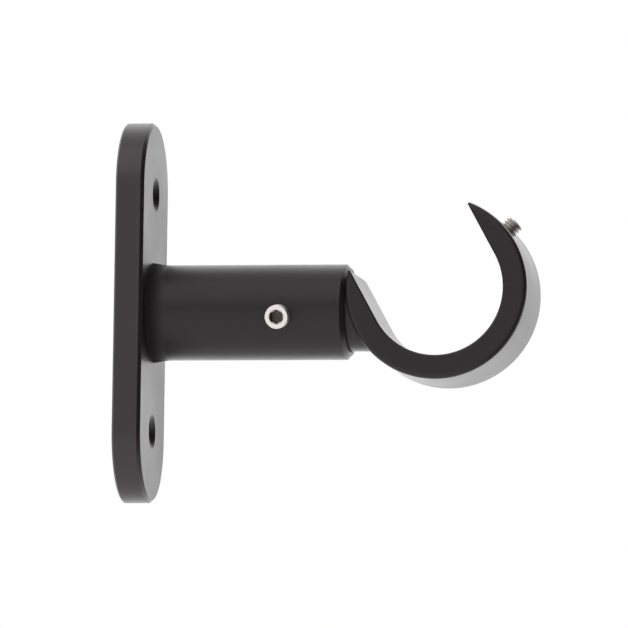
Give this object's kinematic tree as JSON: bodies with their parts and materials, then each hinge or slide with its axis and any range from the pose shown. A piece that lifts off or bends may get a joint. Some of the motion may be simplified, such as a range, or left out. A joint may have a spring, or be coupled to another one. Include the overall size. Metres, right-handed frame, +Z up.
{
  "type": "curtain pole bracket",
  "caption": "Wall bracket for a curtain pole: an oblong plate, a round barrel and an open hook on a sliding stem, all satin black, with bright grub screws that lock the stem and the pole.",
  "frame": {"origin": "on the wall, at the middle of the plate's back and on the barrel's axis, halfway between the two wall screws", "axes": "+X out from the wall along the barrel, +Y along the pole, +Z up"},
  "size_m": [0.0866, 0.028, 0.08],
  "materials": {
    "black_coat": "satin black powder coat",
    "screw_steel": "bright turned steel"
  },
  "bodies": {
    "bracket": {"wall_plate": "black_coat", "barrel": "black_coat", "plate_screw": "screw_steel"},
    "hook": {"hook": "black_coat"},
    "barrel_grub_screw": {"barrel_grub_screw": "screw_steel"},
    "pole_grub_screw": {"pole_grub_screw": "screw_steel"}
  },
  "joints": [
    {"name": "hook_slide", "type": "slide", "parent": "bracket", "child": "hook", "axis": [1, 0, 0], "range_m": [0, 0.013]},
    {"name": "barrel_screw_travel", "type": "slide", "parent": "bracket", "child": "barrel_grub_screw", "axis": [0, -0.9816, -0.1908], "range_m": [0, 0.0015]},
    {"name": "pole_screw_travel", "type": "slide", "parent": "hook", "child": "pole_grub_screw", "axis": [0.7193, 0, 0.6947], "range_m": [-0.0015, 0.0025]}
  ]
}
